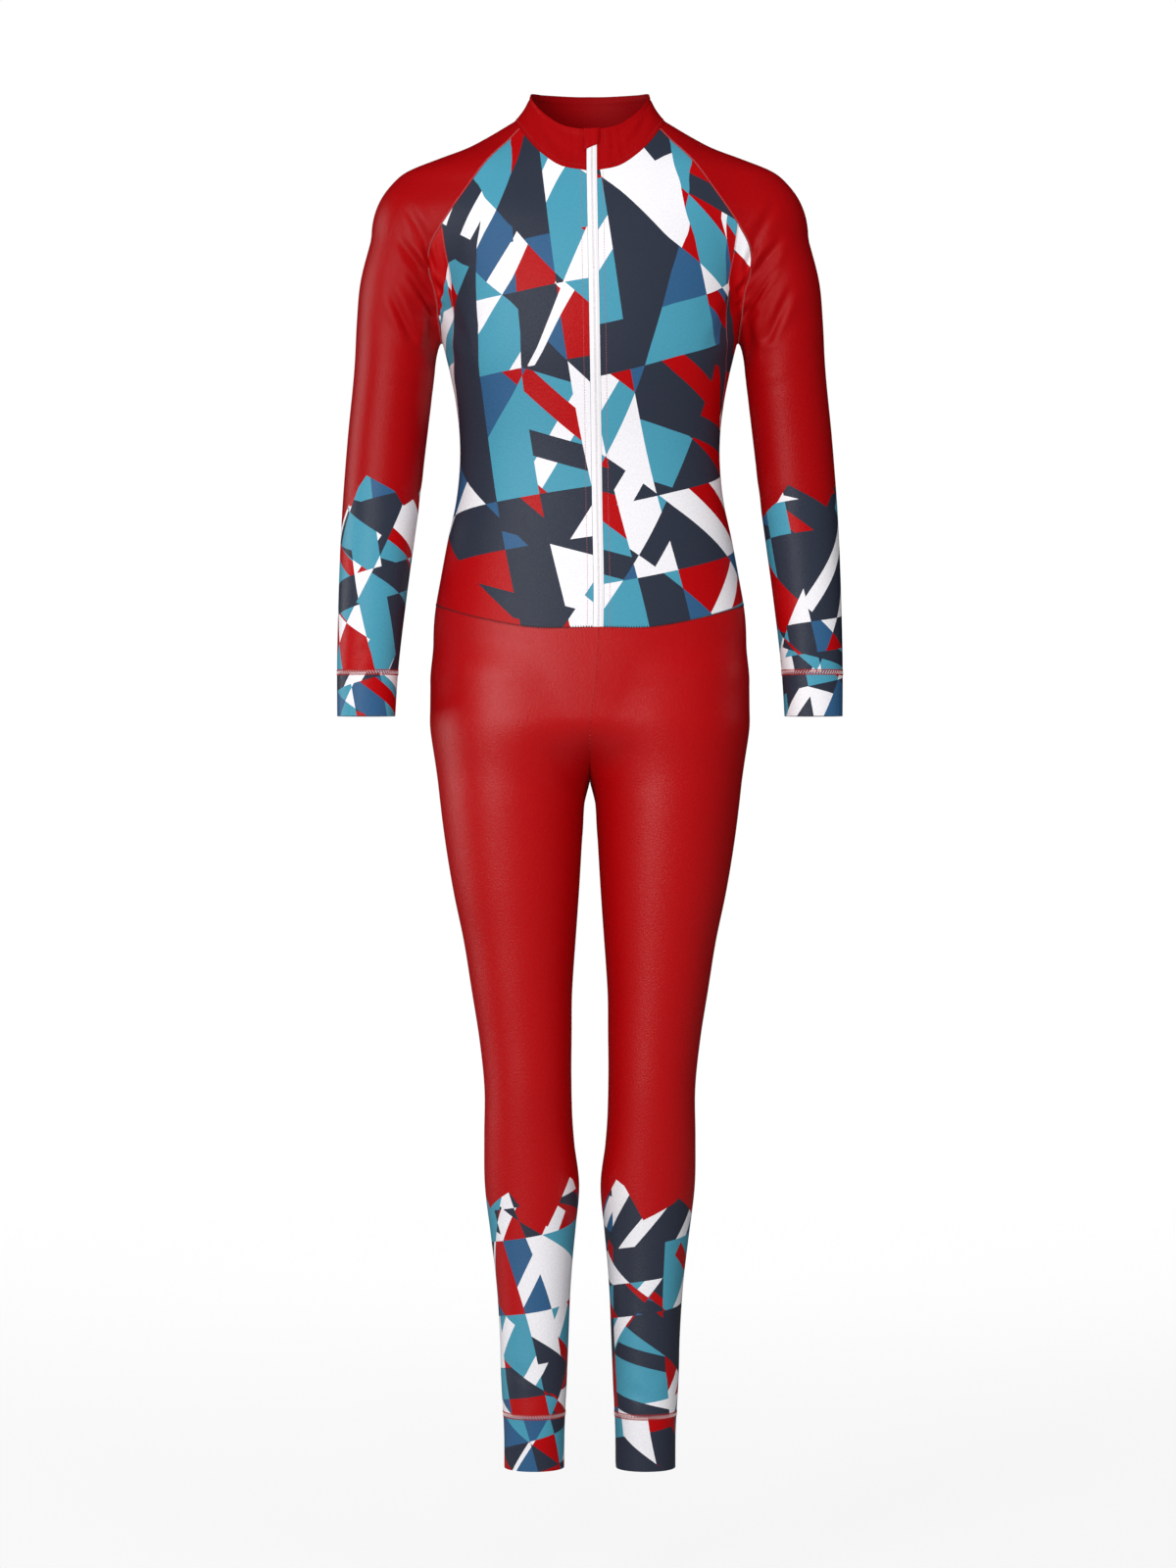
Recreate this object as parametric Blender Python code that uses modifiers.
"""A cross-country ski suit, worn and filled out with no wearer inside it.

One smooth body form, blended from torso, arm and leg sections, gives every panel its surface.
Seams are curves on that form. Each sewn piece is a patch between its seams. Its outer face lies on the
form, its inner face one wall further in, and a rim joins the two.
Metres, +Z up, the front faces -Y, +X is the wearer's left. The origin is between the shoulders, where
the neck starts. Every height is a distance above it.
"""

import bpy
import numpy as np
from mathutils import Matrix, Vector

# ---------------------------------------------------------------- driving sizes
CLOTH = 0.0012  # wall of one layer of stretch knit
DOUBLE_CLOTH = 0.0016  # wall of the collar and the cuffs, which are sewn double
SEAM_GAP = 0.0003  # free space between neighbouring pieces
UNDERARM_GAP = 0.0011  # the walls twist most under the arm, so the side panel steps back further there
WELD = 1e-5  # points of one piece this close are one point
NORMAL_REACH = 0.004  # the form's slope is read over this far to each side for the walls
LEAST_CORNER = 0.12
ZIP_WIDTH = 0.011
WRIST_SEAM = -0.586
WRIST_HEM = -0.6326
ANKLE_SEAM = -1.380
ANKLE_HEM = -1.438
THIGH_RING = -0.770  # where the leg's own rings take over from the patch round the crotch

# Level sections of the torso and shoulders, from the collar down.
# height, half width, half depth, middle from front to back, squareness of the oval
TORSO = np.array([
    (0.030, 0.052, 0.044, 0.014, 2.1),
    (0.012, 0.074, 0.054, 0.013, 2.1),
    (0.002, 0.090, 0.058, 0.012, 2.1),
    (-0.010, 0.110, 0.062, 0.011, 2.1),
    (-0.022, 0.132, 0.066, 0.009, 2.1),
    (-0.034, 0.160, 0.071, 0.006, 2.1),
    (-0.048, 0.181, 0.077, 0.004, 2.2),
    (-0.068, 0.184, 0.085, 0.002, 2.2),
    (-0.095, 0.183, 0.093, 0.000, 2.3),
    (-0.125, 0.175, 0.099, -0.001, 2.3),
    (-0.165, 0.163, 0.103, -0.002, 2.4),
    (-0.210, 0.156, 0.104, -0.003, 2.4),
    (-0.253, 0.152, 0.101, -0.003, 2.4),
    (-0.295, 0.144, 0.094, -0.003, 2.3),
    (-0.345, 0.139, 0.086, -0.003, 2.3),
    (-0.400, 0.143, 0.085, -0.002, 2.3),
    (-0.442, 0.152, 0.089, 0.000, 2.3),
    (-0.484, 0.160, 0.095, 0.003, 2.3),
    (-0.526, 0.167, 0.101, 0.006, 2.3),
    (-0.589, 0.167, 0.107, 0.010, 2.3),
    (-0.630, 0.163, 0.107, 0.011, 2.3),
])
SEAT_DROP = 0.052  # the rounded underside of the torso, below its last section

# Level sections of the wearer's left arm, from the shoulder down.
# height, middle from the centre plane, half width, middle from front to back, half depth
ARM = np.array([
    (-0.120, 0.188, 0.0465, 0.000, 0.056),
    (-0.168, 0.200, 0.0465, 0.000, 0.056),
    (-0.210, 0.2055, 0.0448, 0.001, 0.054),
    (-0.253, 0.209, 0.0435, 0.002, 0.051),
    (-0.337, 0.218, 0.0425, 0.004, 0.047),
    (-0.421, 0.226, 0.0405, 0.001, 0.043),
    (-0.505, 0.233, 0.0365, -0.006, 0.038),
    (-0.589, 0.238, 0.0325, -0.016, 0.032),
    (-0.633, 0.239, 0.0310, -0.021, 0.0295),
])
SHOULDER_CAP = 0.064  # the rounded top of the arm, above its first section

# Level sections of the wearer's left leg, from the hip down. Columns as for the arm.
LEG = np.array([
    (-0.600, 0.0860, 0.0810, 0.010, 0.098),
    (-0.650, 0.0850, 0.0810, 0.009, 0.099),
    (-0.690, 0.0840, 0.0805, 0.008, 0.097),
    (-0.716, 0.0837, 0.0782, 0.007, 0.095),
    (-0.768, 0.0819, 0.0734, 0.005, 0.089),
    (-0.821, 0.0790, 0.0674, 0.002, 0.081),
    (-0.874, 0.0753, 0.0600, 0.000, 0.073),
    (-0.926, 0.0729, 0.0540, -0.002, 0.066),
    (-0.979, 0.0690, 0.0495, -0.003, 0.060),
    (-1.032, 0.0665, 0.0466, -0.003, 0.056),
    (-1.084, 0.0655, 0.0480, 0.002, 0.055),
    (-1.137, 0.0622, 0.0508, 0.010, 0.057),
    (-1.190, 0.0614, 0.0453, 0.011, 0.053),
    (-1.242, 0.0605, 0.0400, 0.008, 0.047),
    (-1.295, 0.0598, 0.0371, 0.005, 0.042),
    (-1.347, 0.0600, 0.0352, 0.002, 0.038),
    (-1.400, 0.0597, 0.0325, 0.000, 0.035),
    (-1.438, 0.0597, 0.0322, 0.000, 0.034),
])
HIP_CAP = 0.060
LIMB_SQUARENESS = 2.1

# How softly the arm and the leg run into the torso: widely on the shoulder and the crotch, tightly in the
# armpit.
# height, blend
ARM_BLEND = np.array([(-0.090, 0.046), (-0.150, 0.034), (-0.200, 0.020), (-0.250, 0.018)])
LEG_BLEND = np.array([(-0.600, 0.020), (-0.660, 0.036), (-0.700, 0.044)])

# The front opening and the front rise lean a little to the wearer's left at the waist.
# height, place from the centre plane
CENTRE_FRONT = np.array([
    (0.030, 0.001), (-0.060, 0.002), (-0.200, 0.0045), (-0.400, 0.0075),
    (-0.540, 0.0088), (-0.600, 0.0060), (-0.640, 0.0005), (-0.680, 0.000),
])

# Largest folds, pushed into the cloth. Both sides have them: they run out of the armpits.
# start (x, y, z), end (x, y, z), depth, half width
FOLDS = (
    ((0.172, -0.042, -0.200), (0.212, -0.056, -0.150), 0.0035, 0.012),
    ((0.174, -0.036, -0.238), (0.236, -0.044, -0.206), 0.0030, 0.012),
    ((0.172, 0.044, -0.200), (0.212, 0.056, -0.150), 0.0035, 0.012),
    ((0.174, 0.038, -0.238), (0.236, 0.046, -0.206), 0.0030, 0.012),
    ((0.150, -0.036, -0.250), (0.124, -0.074, -0.272), 0.0025, 0.013),
    ((0.148, 0.040, -0.250), (0.118, 0.078, -0.272), 0.0025, 0.013),
)

# Seams on the wearer's left, as places that the seam passes; they are then laid on the form.
NECK_FRONT = ((0.0075, -0.081, -0.058), (0.031, -0.077, -0.051), (0.050, -0.066, -0.038),
              (0.065, -0.051, -0.021), (0.075, -0.034, -0.006))
NECK_SIDE = ((0.075, -0.034, -0.006), (0.081, -0.012, 0.004), (0.079, 0.014, 0.009), (0.060, 0.048, 0.008))
NECK_BACK = ((0.060, 0.048, 0.008), (0.034, 0.063, 0.006), (0.000, 0.068, 0.005))
RAGLAN_FRONT = ((0.075, -0.034, -0.006), (0.1106, -0.055, -0.0515), (0.1400, -0.070, -0.0850),
                (0.159, -0.075, -0.1126))
ARMHOLE_FRONT = ((0.159, -0.075, -0.1126), (0.1700, -0.066, -0.1380), (0.1695, -0.054, -0.1600),
                 (0.1640, -0.040, -0.1810), (0.1603, -0.022, -0.2125), (0.1594, 0.000, -0.2325))
ARMHOLE_BACK = ((0.1594, 0.000, -0.2325), (0.1603, 0.022, -0.2115), (0.1640, 0.042, -0.1740),
                (0.1670, 0.060, -0.1490), (0.160, 0.076, -0.1280))
RAGLAN_BACK = ((0.160, 0.076, -0.1280), (0.1400, 0.074, -0.0880), (0.1060, 0.068, -0.0420),
               (0.060, 0.048, 0.008))
SIDE_FRONT = ((0.159, -0.075, -0.1126), (0.1550, -0.066, -0.144), (0.1480, -0.056, -0.179),
              (0.1437, -0.050, -0.205), (0.1435, -0.046, -0.232), (0.1465, -0.036, -0.262),
              (0.1430, -0.024, -0.300), (0.1390, -0.010, -0.345), (0.1430, -0.002, -0.400),
              (0.1550, 0.002, -0.455), (0.1640, 0.004, -0.512))
SIDE_BACK = ((0.160, 0.076, -0.1280), (0.1520, 0.072, -0.1650), (0.1430, 0.068, -0.2050),
             (0.1360, 0.066, -0.2500), (0.1280, 0.060, -0.3000), (0.1220, 0.055, -0.3450),
             (0.1260, 0.056, -0.4000), (0.1380, 0.060, -0.4550), (0.1470, 0.066, -0.508))
SIDE_MIDDLE = ((0.1594, 0.000, -0.2325), (0.1535, 0.005, -0.2400), (0.1500, 0.015, -0.2700),
               (0.1390, 0.022, -0.3450), (0.1500, 0.030, -0.4550), (0.1580, 0.038, -0.509))
WAIST_FRONT = ((0.0143, -0.098, -0.540), (0.0600, -0.092, -0.5400), (0.1100, -0.072, -0.5310),
               (0.1450, -0.040, -0.5200), (0.1640, 0.004, -0.512))
WAIST_SIDE = ((0.1640, 0.004, -0.512), (0.1580, 0.038, -0.509), (0.1470, 0.066, -0.508))
WAIST_BACK = ((0.1470, 0.066, -0.508), (0.0900, 0.096, -0.505), (0.0000, 0.105, -0.503))

# The fan of rings over each shoulder: along its top, and along the underarm. Then its half depth, first and
# last.
SHOULDER_LINE = ((0.081, 0.000, 0.006), (0.130, 0.003, -0.020), (0.178, 0.003, -0.042),
                 (0.212, 0.001, -0.063), (0.232, 0.000, -0.100), (0.243, 0.000, -0.150),
                 (0.250, 0.001, -0.210), (0.2540, 0.002, -0.270))
UNDERARM_LINE = ((0.1594, 0.000, -0.2325), (0.1625, 0.000, -0.2400), (0.1655, 0.001, -0.2550),
                 (0.1675, 0.002, -0.2700))
CAP_HALF_DEPTH = (0.072, 0.052)
RISE_MIDDLE = (0.010, -0.600)  # front to back and height: the centre that the crotch seam curves round

# The collar's top edge: an oval whose height rises from the throat to the nape.
COLLAR_HALF_WIDTH = 0.0640
COLLAR_HALF_DEPTH = 0.0580
COLLAR_MIDDLE = 0.0035
# degrees round from the throat, height
COLLAR_TOP = np.array([
    (0, -0.0120), (28, -0.0050), (54, 0.0115), (75, 0.0250), (95, 0.0335), (130, 0.0395), (180, 0.0425),
])
COLLAR_WAIST = 0.0020  # how far the collar's middle curves in

# The zip stops this share of the collar's first row below its top edge. A folded tab covers its end.
ZIP_STOP = 0.55
GARAGE_WIDTH = 0.017
GARAGE_WALL = 0.0010
# way down from the collar's top edge, how far the outer face lies out of the collar at the middle and at the
# edges, and how much further down the wearer's right edge reaches
GARAGE_PATH = (
    (0.0150, -0.0032, -0.0032, 0.0), (0.0060, -0.0032, -0.0032, 0.0), (0.0003, -0.0031, -0.0031, 0.0),
    (-0.0014, -0.0023, -0.0023, 0.0), (-0.0019, -0.0008, -0.0008, 0.0), (-0.0016, 0.0010, 0.0006, 0.0),
    (0.0006, 0.0028, 0.0015, 0.0), (0.0060, 0.0031, 0.0014, 0.0), (0.0160, 0.0031, 0.0014, 0.002),
    (0.0215, 0.0015, 0.0014, 0.005),
)
SLIDER_SIZE = (0.0080, 0.0012, 0.0070)
SLIDER_DROP = 0.0105

# Edges of cloth between two neighbouring points of each seam.
NECK_FRONT_STEPS = 4
NECK_SIDE_STEPS = 4
NECK_BACK_STEPS = 4
RAGLAN_STEPS = 5
ARMHOLE_STEPS = 6
BODY_ROWS = 13
SIDE_SPLIT = 0.29  # share of a side seam that lies above the armpit, with ARMHOLE_STEPS of the rows
WAIST_SIDE_STEPS = 4
PANEL_COLUMNS = NECK_FRONT_STEPS + RAGLAN_STEPS
COLLAR_ROWS = 3
SLEEVE_STEPS = 2 * (ARMHOLE_STEPS + RAGLAN_STEPS) + NECK_SIDE_STEPS
SLEEVE_CAP_ROWS = 12
MIDDLE_CROWDING = 1.3  # over 1 sets the rows of a side panel's middle close together under the armpit
SLEEVE_LOOK_AHEAD = 4  # rows of the shoulder's fan that each row aims ahead
SLEEVE_ROWS = 8
LEG_STEPS = 1 + 2 * PANEL_COLUMNS + WAIST_SIDE_STEPS
RISE_ROWS = 7
CROTCH_ROWS = 3
LEG_ROWS = 15
CUFF_ROWS = 2


# ---------------------------------------------------------------- the form that the cloth lies on
def read_table(rows, key):
    """The other columns of a table at these keys, on a smooth curve through its rows."""
    rows = rows[np.argsort(rows[:, 0])]
    knots, values = rows[:, 0], rows[:, 1:]
    slopes = np.gradient(values, knots, axis=0)
    key = np.clip(np.asarray(key, float), knots[0], knots[-1])
    i = np.clip(np.searchsorted(knots, key) - 1, 0, len(knots) - 2)
    step = knots[i + 1] - knots[i]
    t = ((key - knots[i]) / step)[..., None]
    step = step[..., None]
    return (values[i] * (1 + 2 * t) * (1 - t) ** 2 + values[i + 1] * t * t * (3 - 2 * t)
            + step * slopes[i] * t * (1 - t) ** 2 - step * slopes[i + 1] * t * t * (1 - t))


def oval_distance(across, along, past, half_width, half_depth, cap, power):
    """Roughly the distance out of an oval section, whose end is rounded over a height of cap."""
    u, v, w = np.abs(across) / half_width, np.abs(along) / half_depth, np.maximum(past, 0) / cap
    rho = (u ** power + v ** power + w ** power) ** (1 / power) + 1e-9
    slope = np.sqrt((((u / rho) ** (power - 1)) / half_width) ** 2
                    + (((v / rho) ** (power - 1)) / half_depth) ** 2
                    + (((w / rho) ** (power - 1)) / cap) ** 2)
    return (rho - 1) / (slope + 1e-9)


def smooth_union(a, b, blend):
    h = np.clip(0.5 + 0.5 * (b - a) / blend, 0, 1)
    return b * (1 - h) + a * h - blend * h * (1 - h)


def limb(x, y, z, table, cap):
    middle_x, half_width, middle_y, half_depth = np.moveaxis(read_table(table, z), -1, 0)
    return oval_distance(x - middle_x, y - middle_y, z - table[0, 0], half_width, half_depth, cap,
                         LIMB_SQUARENESS)


def form(points):
    """How far each point lies outside the form: 0 on its surface, negative inside."""
    x, y, z = np.abs(points[..., 0]), points[..., 1], points[..., 2]
    half_width, half_depth, middle, power = np.moveaxis(read_table(TORSO, z), -1, 0)
    torso = oval_distance(x, y - middle, TORSO[-1, 0] - z, half_width, half_depth, SEAT_DROP, power)
    whole = smooth_union(torso, limb(x, y, z, LEG, HIP_CAP), read_table(LEG_BLEND, z)[..., 0])
    return smooth_union(whole, limb(x, y, z, ARM, SHOULDER_CAP), read_table(ARM_BLEND, z)[..., 0])


def slope_of_form(points, step=2e-4):
    sides = [(form(points + step * axis) - form(points - step * axis)) / (2 * step) for axis in np.eye(3)]
    return np.stack(sides, axis=-1)


def lay(points, free=(1, 1, 1), rounds=14, longest=0.012):
    """Moves points along the slope, in the free directions, until they lie on the form."""
    points = np.array(points, float)
    for _ in range(rounds):
        slope = slope_of_form(points) * free
        move = form(points)[..., None] * slope / (np.sum(slope ** 2, axis=-1, keepdims=True) + 1e-9)
        length = np.linalg.norm(move, axis=-1, keepdims=True)
        points = points - move * np.minimum(1, longest / (length + 1e-12))
    return points


def outward(points):
    """Unit vectors out of the form, read over a few millimetres so that they turn gently in the armpit."""
    slope = slope_of_form(points, step=NORMAL_REACH)
    return slope / np.linalg.norm(slope, axis=-1, keepdims=True)


def folded(points):
    """Pushes the largest folds into points that lie on the form."""
    points = np.array(points, float)
    across = np.abs(points[..., :1])
    mirrored = np.concatenate([across, points[..., 1:]], axis=-1)
    sunk = np.zeros(points.shape[:-1])
    for start, end, depth, half_width in FOLDS:
        start, run = np.array(start), np.array(end) - np.array(start)
        t = np.clip((mirrored - start) @ run / (run @ run), 0, 1)
        away = np.linalg.norm(mirrored - start - t[..., None] * run, axis=-1)
        sunk = sunk + depth * (1 - t) ** 0.7 * np.exp(-(away / half_width) ** 2)
    return points - sunk[..., None] * outward(points)


# ---------------------------------------------------------------- curves and patches
def spaced(points, shares):
    """Points at these shares of the length of a smooth curve through the given ones."""
    points = np.array(points, float)
    length = np.concatenate([[0], np.cumsum(np.linalg.norm(np.diff(points, axis=0), axis=1))])
    table = np.column_stack([length, points])
    fine = read_table(table, np.linspace(0, length[-1], 40 * len(shares)))
    run = np.concatenate([[0], np.cumsum(np.linalg.norm(np.diff(fine, axis=0), axis=1))])
    return np.stack([np.interp(shares * run[-1], run, fine[:, i]) for i in range(3)], axis=1)


def even(steps):
    return np.linspace(0, 1, steps + 1)


def seam(guide, steps):
    return lay(spaced(guide, even(steps)))


def side_seam(guide):
    """A side seam, with a row for each edge of the armhole above the armpit and the rest of the rows below."""
    upper = SIDE_SPLIT * even(ARMHOLE_STEPS)
    lower = SIDE_SPLIT + (1 - SIDE_SPLIT) * even(BODY_ROWS - ARMHOLE_STEPS)
    return lay(spaced(guide, np.concatenate([upper, lower[1:]])))


def finer(line, times):
    """The same line with more points on each of its straight edges."""
    index = np.arange((len(line) - 1) * times + 1) / times
    return np.stack([np.interp(index, np.arange(len(line)), line[:, i]) for i in range(3)], axis=1)


def patch(top, bottom, start, end):
    """A grid of points between four seams: rows from top to bottom, columns from start to end."""
    down = np.linspace(0, 1, len(start))[:, None, None]
    over = np.linspace(0, 1, len(top))[None, :, None]
    corners = ((1 - down) * (1 - over) * top[0] + (1 - down) * over * top[-1]
               + down * (1 - over) * bottom[0] + down * over * bottom[-1])
    grid = (1 - down) * top + down * bottom + (1 - over) * start[:, None] + over * end[:, None] - corners
    grid[1:-1, 1:-1] = lay(grid[1:-1, 1:-1])
    return grid


def evened(grid, side, rounds=40, clear=0.003):
    """A leg's grid with its inner points spread evenly over the form, none closer than clear to the centre."""
    grid = grid.copy()
    for _ in range(rounds):
        middle = (grid[:-2, 1:-1] + grid[2:, 1:-1] + grid[1:-1, :-2] + grid[1:-1, 2:]) / 4
        centre = side * centre_front(middle[..., 2]) * (middle[..., 1] < 0)
        middle[..., 0] = np.maximum(middle[..., 0], centre + clear)
        grid[1:-1, 1:-1] = lay(middle, rounds=3)
    return grid


def unit(v):
    return v / (np.linalg.norm(v, axis=-1, keepdims=True) + 1e-12)


def draw_in(grid, top=True, bottom=True, start=None, end=None, closed=False):
    """Pulls the edges of a grid in by half a seam gap. The start and end columns take a number of rows, or all.

    The rows of a closed grid are loops, so it has no start or end. A sharp corner steps back further than
    a square one, up to 1 / LEAST_CORNER times.
    """
    grid = np.array(grid, float)
    rows, columns = grid.shape[:2]

    def pull(edge, inner):
        run = np.gradient(edge, axis=0)
        if closed:
            run[[0, -1]] = edge[1] - edge[-2]
        run = unit(run)
        inward = inner - edge
        return unit(inward - np.sum(inward * run, axis=-1, keepdims=True) * run)

    pulls = np.zeros((4, rows, columns, 3))
    if top:
        pulls[0, 0] = pull(grid[0], grid[1])
    if bottom:
        pulls[1, -1] = pull(grid[-1], grid[-2])
    if not closed:
        pulls[2, :start, 0] = pull(grid[:, 0], grid[:, 1])[:start]
        pulls[3, :end, -1] = pull(grid[:, -1], grid[:, -2])[:end]
    total = pulls.sum(axis=0)
    across = (pulls[0] + pulls[1]) * (pulls[2] + pulls[3])
    share = np.maximum(1 + across.sum(axis=-1, keepdims=True), LEAST_CORNER)
    return grid + 0.5 * SEAM_GAP * total / share


def mirrored(grid):
    """The same patch on the other side of the body, with its columns reversed so that it still faces out."""
    return (grid * (-1, 1, 1))[:, ::-1]


# ---------------------------------------------------------------- Blender objects
def clear_scene():
    for old in list(bpy.data.objects):
        bpy.data.objects.remove(old, do_unlink=True)


def material(name, colour, roughness, metallic=0.0):
    made = bpy.data.materials.new(name)
    made.use_nodes = True
    shader = made.node_tree.nodes["Principled BSDF"]
    shader.inputs["Base Color"].default_value = (*colour, 1)
    shader.inputs["Roughness"].default_value = roughness
    shader.inputs["Metallic"].default_value = metallic
    made.diffuse_color = (*colour, 1)
    return made


def sheet(name, parts, finish):
    """A sewn piece: each part is a grid for its outer face, row by row downwards, and the way to its inner face.

    Points that lie in one place become one, which closes a tube and joins one part to the next.
    """
    outer = np.concatenate([grid.reshape(-1, 3) for grid, _ in parts])
    inner = np.concatenate([(grid + inward).reshape(-1, 3) for grid, inward in parts])
    _, first, same = np.unique(np.round(outer / WELD), axis=0, return_index=True, return_inverse=True)
    same = same.reshape(-1)
    faces, used = [], 0
    for grid, _ in parts:
        index = same[used:used + grid[..., 0].size].reshape(grid.shape[:2])
        used += index.size
        corners = np.stack([index[:-1, :-1], index[1:, :-1], index[1:, 1:], index[:-1, 1:]], axis=-1)
        faces += [tuple(dict.fromkeys(face)) for face in corners.reshape(-1, 4).tolist()]
    faces = [face for face in faces if len(face) > 2]
    ends = {pair for face in faces for pair in zip(face, face[1:] + face[:1])}
    other = len(first)
    rim = []
    for a, b in sorted(pair for pair in ends if pair[::-1] not in ends):
        # Neighbouring pieces split the rim's twisted quads alike, from the lower end, so that they don't
        # cross.
        far = b if outer[first[a], 2] < outer[first[b], 2] else a
        rim += [(b, a, far + other), ((a, a + other, b + other) if far == b else (b, a + other, b + other))]
    inner_faces = [tuple(other + i for i in reversed(face)) for face in faces]
    mesh = bpy.data.meshes.new(name)
    mesh.from_pydata([*outer[first].tolist(), *inner[first].tolist()], [], [*faces, *inner_faces, *rim])
    mesh.shade_smooth()
    mesh.set_sharp_from_angle(angle=np.radians(50))
    mesh.materials.append(finish)
    made = bpy.data.objects.new(name, mesh)
    suit.objects.link(made)


def facing(grid):
    """Unit vectors out of a grid that doesn't lie on the form."""
    normal = np.cross(np.gradient(grid, axis=0), np.gradient(grid, axis=1))
    return normal / np.linalg.norm(normal, axis=-1, keepdims=True)


# ---------------------------------------------------------------- seams shared by the pieces
def centre_front(heights):
    return read_table(CENTRE_FRONT, heights)[..., 0]


def front_edge(side):
    """One side's edge of the front opening, from the neck seam to the waist seam, seen as the wearer's left."""
    heights = np.linspace(NECK_FRONT[0][2], WAIST_FRONT[0][2], BODY_ROWS + 1)
    x = side * centre_front(heights) + ZIP_WIDTH / 2
    return lay(np.stack([x, np.full_like(x, -0.1), heights], axis=1), free=(0, 1, 0))


def level_ring(table, height, steps):
    """A level ring of a limb, laid on the form, from the inner side round by the front, at even steps."""
    middle_x, half_width, middle_y, half_depth = read_table(table, np.array(height))
    angles = np.linspace(0, 2 * np.pi, 16 * steps + 1)
    ring = lay(np.stack([middle_x - half_width * np.cos(angles), middle_y - half_depth * np.sin(angles),
                         np.full_like(angles, height)], axis=1), free=(1, 1, 0))
    run = np.concatenate([[0], np.cumsum(np.linalg.norm(np.diff(ring, axis=0), axis=1))])
    return np.stack([np.interp(run[-1] * even(steps), run, ring[:, i]) for i in range(3)], axis=1)


def rise(side, towards):
    """The centre seam of the legs, from the waist down and under: towards is -1 for the front, 1 for the back."""
    waist = np.array(WAIST_FRONT[0] if towards < 0 else WAIST_BACK[-1])[1:] - RISE_MIDDLE
    first, under = np.arctan2(waist[1], waist[0]), -np.pi / 2
    angles = np.linspace(first, under + (2 * np.pi if towards < 0 else 0), 4 * RISE_ROWS)
    reach = np.linalg.norm(waist)
    line = np.stack([0 * angles, RISE_MIDDLE[0] + reach * np.cos(angles),
                     RISE_MIDDLE[1] + reach * np.sin(angles)], axis=1)
    line[1:] = lay(line[1:], free=(0, 1, 1))
    line[:1] = lay(line[:1], free=(0, 1, 0))
    line = spaced(line, even(RISE_ROWS))
    if towards < 0:
        line[:, 0] = side * centre_front(line[:, 2])
    line[-1, 0] = 0
    return line


def seams(side):
    """Every seam of one side, as points in the wearer's left half; the right side is mirrored afterwards."""
    lines = {
        "front_edge": front_edge(side),
        "neck_side": seam(NECK_SIDE, NECK_SIDE_STEPS),
        "neck_back": seam(NECK_BACK, NECK_BACK_STEPS),
        "raglan_front": seam(RAGLAN_FRONT, RAGLAN_STEPS),
        "armhole_front": seam(ARMHOLE_FRONT, ARMHOLE_STEPS),
        "armhole_back": seam(ARMHOLE_BACK, ARMHOLE_STEPS),
        "raglan_back": seam(RAGLAN_BACK, RAGLAN_STEPS),
        "side_front": side_seam(SIDE_FRONT),
        "side_middle": lay(spaced(SIDE_MIDDLE, even(BODY_ROWS - ARMHOLE_STEPS) ** MIDDLE_CROWDING)),
        "side_back": side_seam(SIDE_BACK),
        "waist_side": seam(WAIST_SIDE, WAIST_SIDE_STEPS),
        "waist_back": seam(WAIST_BACK, PANEL_COLUMNS),
    }
    lines["neck_front"] = seam((lines["front_edge"][0], *NECK_FRONT[1:]), NECK_FRONT_STEPS)
    lines["waist_front"] = seam((lines["front_edge"][-1], *WAIST_FRONT[1:]), PANEL_COLUMNS)
    return lines


def join(*lines):
    """Seams end to end, each shared point once."""
    return np.concatenate([lines[0], *(line[1:] for line in lines[1:])])


# ---------------------------------------------------------------- the pieces' own grids
def front_grid(lines):
    return patch(join(lines["neck_front"], lines["raglan_front"]), lines["waist_front"],
                 lines["front_edge"], lines["side_front"])


def side_grids(lines):
    """The front and the back half of a side panel. Each starts in a point and widens down its side seam,
    against the armhole first and then against the line down the panel's middle, where the halves are one.
    """
    waist = finer(lines["waist_side"], 2)
    half = len(waist) // 2
    middle = lines["side_middle"]
    middle[[0, -1]] = lines["armhole_front"][-1], waist[half]
    front_tip = np.repeat(lines["side_front"][:1], half + 1, axis=0)
    back_tip = np.repeat(lines["side_back"][:1], half + 1, axis=0)
    return (patch(front_tip, waist[:half + 1], lines["side_front"], join(lines["armhole_front"], middle)),
            patch(back_tip, waist[half:], join(lines["armhole_back"][::-1], middle), lines["side_back"]))


def draw_side_in(front, back):
    """Both halves with their seam gaps. Only the armhole's rows part company, and each tip steps back."""
    drawn = [draw_in(front, top=False, end=ARMHOLE_STEPS), draw_in(back, top=False, start=ARMHOLE_STEPS)]
    for whole, grid in zip((front, back), drawn):
        edges = unit(whole[1, [0, -1]] - whole[0, 0])
        slimness = np.linalg.norm(edges[0] - edges[1]) / 2
        grid[0] = whole[0, 0] + SEAM_GAP / 2 / slimness * unit(edges.sum(axis=0))
    for whole, grid, column in ((front, drawn[0], -1), (back, drawn[1], 0)):
        near = whole[ARMHOLE_STEPS - 1, column]
        grid[ARMHOLE_STEPS - 1, column] = near + UNDERARM_GAP * unit(grid[ARMHOLE_STEPS - 1, column] - near)
    armpit = front[ARMHOLE_STEPS:ARMHOLE_STEPS + 2, -1]
    drawn[0][ARMHOLE_STEPS, -1] = armpit[0] + UNDERARM_GAP * unit(armpit[1] - armpit[0])
    drawn[1][ARMHOLE_STEPS:, 0] = drawn[0][ARMHOLE_STEPS:, -1]
    return drawn


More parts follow.
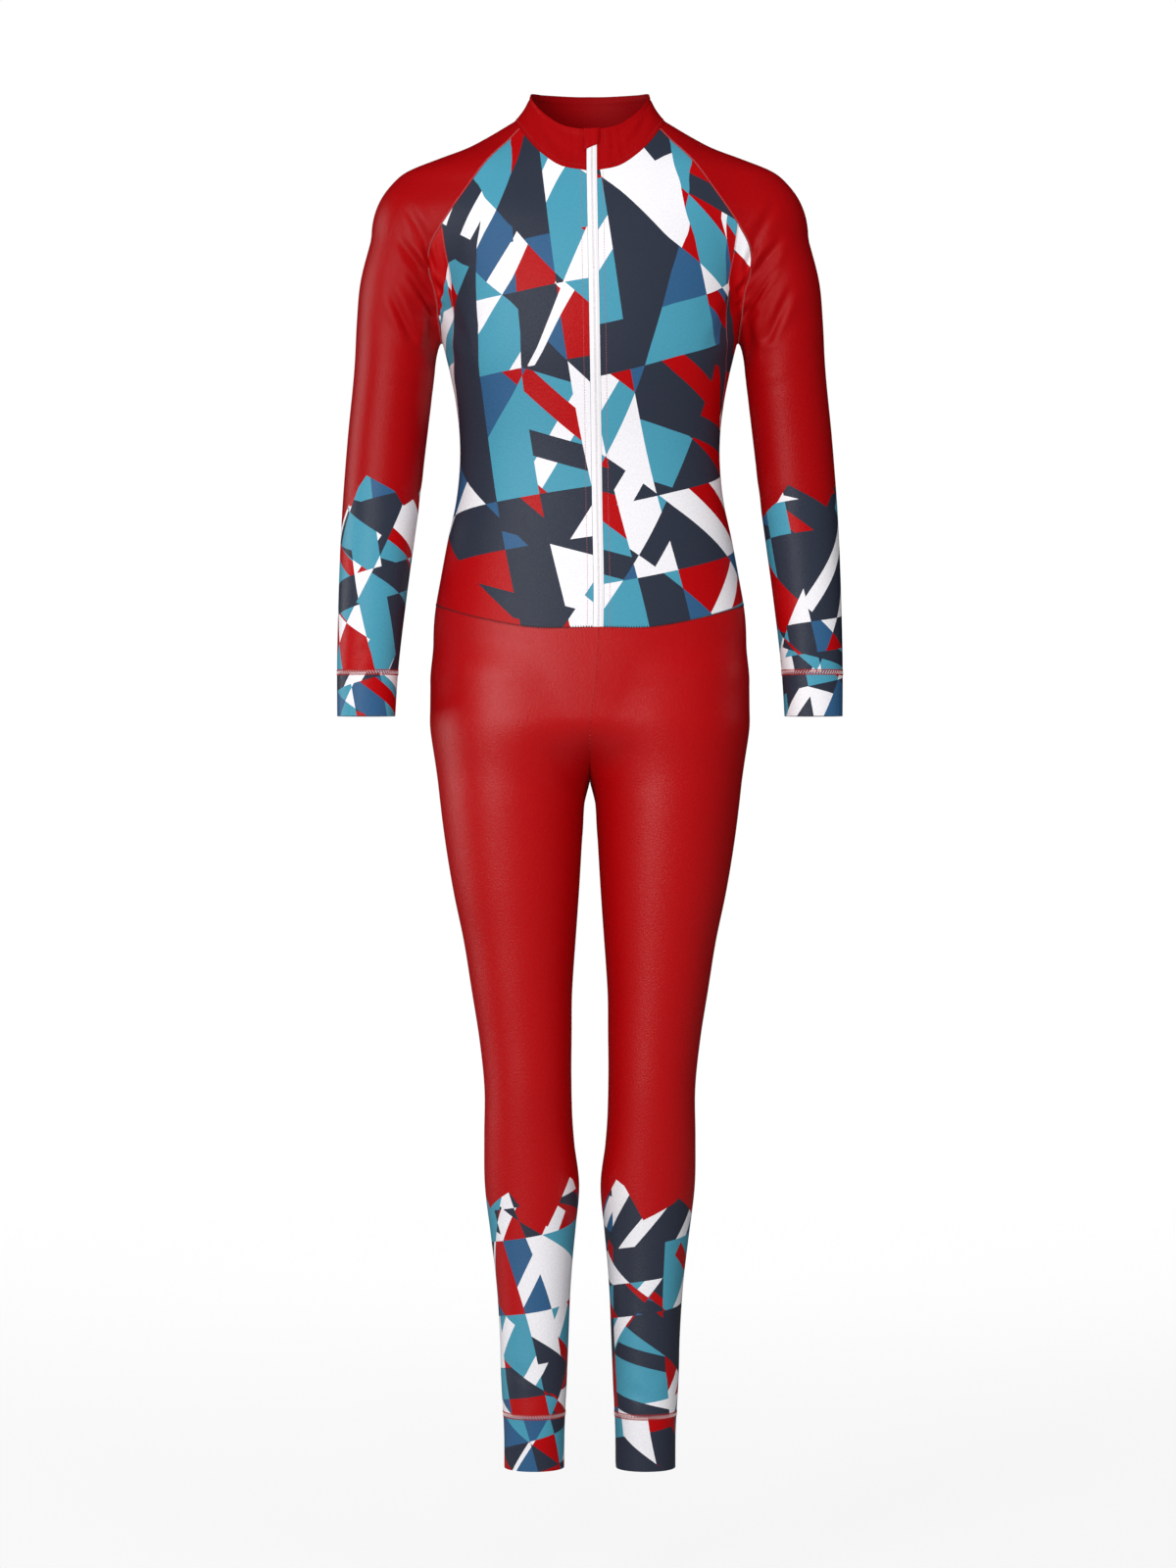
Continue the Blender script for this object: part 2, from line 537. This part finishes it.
def back_grid(lines):
    top = join(lines["raglan_back"], lines["neck_back"])
    centre = np.linspace(top[-1], lines["waist_back"][-1], BODY_ROWS + 1) + (0, 0.03, 0)
    centre[[0, -1]] = top[-1], lines["waist_back"][-1]
    centre[1:-1] = lay(centre[1:-1], free=(0, 1, 0))
    half = patch(top, lines["waist_back"], lines["side_back"], centre)
    return np.concatenate([half, mirrored(half)[:, 1:]], axis=1)


def sleeve_grid(lines):
    """Rings that fan out of the armpit from the raglan seam, then level rings down the arm."""
    loop = join(lines["armhole_front"][::-1], lines["raglan_front"][::-1], lines["neck_side"],
                lines["raglan_back"][::-1], lines["armhole_back"][::-1])
    over = spaced(lay(SHOULDER_LINE), even(SLEEVE_CAP_ROWS))
    under = spaced(lay(UNDERARM_LINE), even(SLEEVE_CAP_ROWS))
    angles = np.linspace(0, 2 * np.pi, SLEEVE_STEPS + 1)[None, :, None]
    middle, reach = (over + under)[:, None] / 2, (over - under)[:, None] / 2
    share = np.linspace(0, 1, SLEEVE_CAP_ROWS + 1)[:, None, None]
    depth = CAP_HALF_DEPTH[0] * (1 - share) + CAP_HALF_DEPTH[1] * share
    fan = middle - reach * np.cos(angles) - np.array([0, 1, 0]) * depth * np.sin(angles)
    heights = np.linspace(SHOULDER_LINE[-1][2], WRIST_SEAM, SLEEVE_ROWS + 1)
    rings = np.stack([level_ring(ARM, height, SLEEVE_STEPS) for height in heights])
    fan = lay(fan + (1 - share) ** 1.5 * (loop - fan[0]) + share ** 2 * (rings[0] - fan[-1]))
    fan[0], fan[-1] = loop, rings[0]
    for row in range(1, SLEEVE_CAP_ROWS):
        aim = min(row + SLEEVE_LOOK_AHEAD, SLEEVE_CAP_ROWS)
        way, normal = (fan[aim] - fan[row - 1]) / (aim - row + 1), outward(fan[row - 1])
        fan[row] = lay(fan[row - 1] + way - np.sum(way * normal, axis=-1, keepdims=True) * normal)
    return np.concatenate([fan, rings[1:]])


def leg_grid(lines, side):
    """From the waist, round the crotch, then level rings down the leg to the ankle."""
    front, back = rise(side, -1), rise(side, 1)
    waist = np.concatenate([front[:1], join(lines["waist_front"], lines["waist_side"], lines["waist_back"])])
    back[0], back[-1] = waist[-1], front[-1]
    first = level_ring(LEG, THIGH_RING, LEG_STEPS)
    inner = np.linspace(front[-1], first[0], CROTCH_ROWS + 1)
    inner[1:-1] = lay(inner[1:-1] + (0.004, 0, 0), free=(1, 0, 0))
    top = evened(patch(waist, first, join(front, inner), join(back, inner)), side)
    heights = np.linspace(THIGH_RING, ANKLE_SEAM, LEG_ROWS + 1)[1:]
    return np.concatenate([top, [level_ring(LEG, height, LEG_STEPS) for height in heights]])


def collar_grid(lines, right_lines):
    """Rows from the top edge down to the neck seam, from the left of the zip round the nape to its right."""
    left = join(lines["neck_front"], lines["neck_side"], lines["neck_back"])
    right = join(right_lines["neck_front"], lines["neck_side"], lines["neck_back"]) * (-1, 1, 1)
    base = join(left, right[::-1])
    round_neck = np.arctan2(base[:, 0], COLLAR_MIDDLE - base[:, 1])
    height = read_table(COLLAR_TOP, np.degrees(np.abs(round_neck)))[:, 0]
    top = np.stack([COLLAR_HALF_WIDTH * np.sin(round_neck),
                    COLLAR_MIDDLE - COLLAR_HALF_DEPTH * np.cos(round_neck), height], axis=1)
    top[[0, -1], 0] = base[[0, -1], 0]
    down = np.linspace(0, 1, COLLAR_ROWS + 1)[:, None, None]
    waisted = np.stack([np.sin(round_neck), -np.cos(round_neck), 0 * round_neck], axis=1)
    return (1 - down) * top + down * base - COLLAR_WAIST * np.sin(np.pi * down) * waisted


def zip_grid(collar, left, right):
    """Rows from just under the collar's top edge to the waist, between the two edges of the opening."""
    sides = []
    for edge, column, flip in ((right, -1, (-1, 1, 1)), (left, 0, (1, 1, 1))):
        up = collar[:, column].copy()
        up[0] += (up[1] - up[0]) * ZIP_STOP
        sides.append(join(up, edge["front_edge"] * flip))
    return np.stack([sides[0], np.mean(sides, axis=0), sides[1]], axis=1)


def on_collar(collar, column, drop):
    """The place this far down one column of the collar, measured along its edges from the top."""
    line = collar[:, column]
    run = np.concatenate([[0], np.cumsum(np.linalg.norm(np.diff(line, axis=0), axis=1))])
    first = line[0] + min(drop, 0) * (line[1] - line[0]) / run[1]
    return first if drop < 0 else np.array([np.interp(drop, run, line[:, i]) for i in range(3)])


def throat_frame(collar, drop):
    """Right edge, left edge, then the way along the collar past each of them, this far down from its top."""
    right, left = on_collar(collar, -1, drop), on_collar(collar, 0, drop)
    past_right, past_left = on_collar(collar, -2, drop) - right, on_collar(collar, 1, drop) - left
    return right, left, past_right / np.linalg.norm(past_right), past_left / np.linalg.norm(past_left)


def garage_grid(collar):
    """A folded tab over the top of the zip: rows from inside the neck, over the edge, down the outside."""
    rows = []
    for drop, proud_middle, proud_edge, slant in GARAGE_PATH:
        row = []
        for across in (-1, -0.5, 0, 0.5, 1):
            place = drop - slant * across
            right, left, past_right, past_left = throat_frame(collar, place)
            lower = throat_frame(collar, place + 0.001)
            along = (left - right) if abs(across) < 0.9 else (-past_right if across < 0 else past_left)
            down = lower[0] - right if across < 0 else lower[1] - left
            out = np.cross(down, along)
            out /= np.linalg.norm(out)
            overhang = (GARAGE_WIDTH - ZIP_WIDTH) / 2 * max(abs(across) * 2 - 1, 0)
            spot = (left + right) / 2 + min(abs(across) * 2, 1) * np.sign(across) * (left - right) / 2
            spot = spot + overhang * (past_right if across < 0 else past_left)
            row.append(spot + (proud_edge if abs(across) > 0.9 else proud_middle) * out)
        rows.append(row)
    return np.array(rows)


# ---------------------------------------------------------------- the suit
clear_scene()
suit = bpy.data.collections.new("ski_suit")
bpy.context.scene.collection.children.link(suit)

RED = material("red_knit", (0.48, 0.006, 0.008), 0.42)
PRINT = material("printed_knit", (0.045, 0.24, 0.33), 0.45)
WHITE = material("white_zip", (0.85, 0.84, 0.86), 0.5)
METAL = material("slider_metal", (0.6, 0.6, 0.62), 0.35, 1.0)

halves = {1: seams(1), -1: seams(-1)}
for side, name in ((1, "left"), (-1, "right")):
    lines = halves[side]
    turn = np.array if side > 0 else mirrored

    grid = folded(front_grid(lines))
    sheet(f"front_{name}", [(turn(draw_in(grid)), turn(-CLOTH * outward(grid)))], PRINT)

    grids = [folded(grid) for grid in side_grids(lines)]
    inward = [turn(-CLOTH * outward(grid)) for grid in grids]
    sheet(f"side_{name}", list(zip(map(turn, draw_side_in(*grids)), inward)), PRINT)

    grid = folded(sleeve_grid(lines))
    sheet(f"sleeve_{name}", [(turn(draw_in(grid, closed=True)), turn(-CLOTH * outward(grid)))], RED)

    grid = leg_grid(lines, side)
    inward = turn(-CLOTH * outward(grid))
    grid = draw_in(grid, start=RISE_ROWS + 1, end=RISE_ROWS + 1)
    grid[RISE_ROWS, 0, 0] = SEAM_GAP / 2
    grid[RISE_ROWS:, -1] = grid[RISE_ROWS:, 0]
    sheet(f"leg_{name}", [(turn(grid), inward)], RED)

    for cuff, table, high, low, steps in (("wrist_cuff", ARM, WRIST_SEAM, WRIST_HEM, SLEEVE_STEPS),
                                          ("ankle_cuff", LEG, ANKLE_SEAM, ANKLE_HEM, LEG_STEPS)):
        heights = np.linspace(high, low, CUFF_ROWS + 1)
        grid = np.stack([level_ring(table, height, steps) for height in heights])
        inward = turn(-DOUBLE_CLOTH * outward(grid))
        sheet(f"{cuff}_{name}", [(turn(draw_in(grid, bottom=False, closed=True)), inward)], PRINT)

grid = folded(back_grid(halves[1]))
sheet("back", [(draw_in(grid), -CLOTH * outward(grid))], PRINT)
collar = collar_grid(halves[1], halves[-1])
sheet("collar", [(draw_in(collar, top=False), -DOUBLE_CLOTH * facing(collar))], RED)
grid = zip_grid(collar, halves[1], halves[-1])
sheet("zip", [(draw_in(grid, top=False), -CLOTH * facing(grid))], WHITE)
grid = garage_grid(collar)
sheet("zip_garage", [(grid, -GARAGE_WALL * facing(grid))], RED)

# The slider stands closed at the top of the zip, under the folded tab.
right, left, _, _ = throat_frame(collar, SLIDER_DROP)
down = throat_frame(collar, SLIDER_DROP + 0.001)[0] - right
out = np.cross(down, left - right)
out /= np.linalg.norm(out)
bpy.ops.mesh.primitive_cube_add(size=1)
slider = bpy.context.object
slider.name = slider.data.name = "zip_slider"
for holder in list(slider.users_collection):
    holder.objects.unlink(slider)
suit.objects.link(slider)
slider.data.transform(Matrix.Diagonal((*SLIDER_SIZE, 1)))
slider.data.materials.append(METAL)
slider.location = (left + right) / 2 + (SEAM_GAP + SLIDER_SIZE[1] / 2) * out
slider.rotation_euler = Vector(-out).to_track_quat("Y", "Z").to_euler()
edges = slider.modifiers.new("edges", "BEVEL")
edges.width = 0.0004
edges.segments = 2
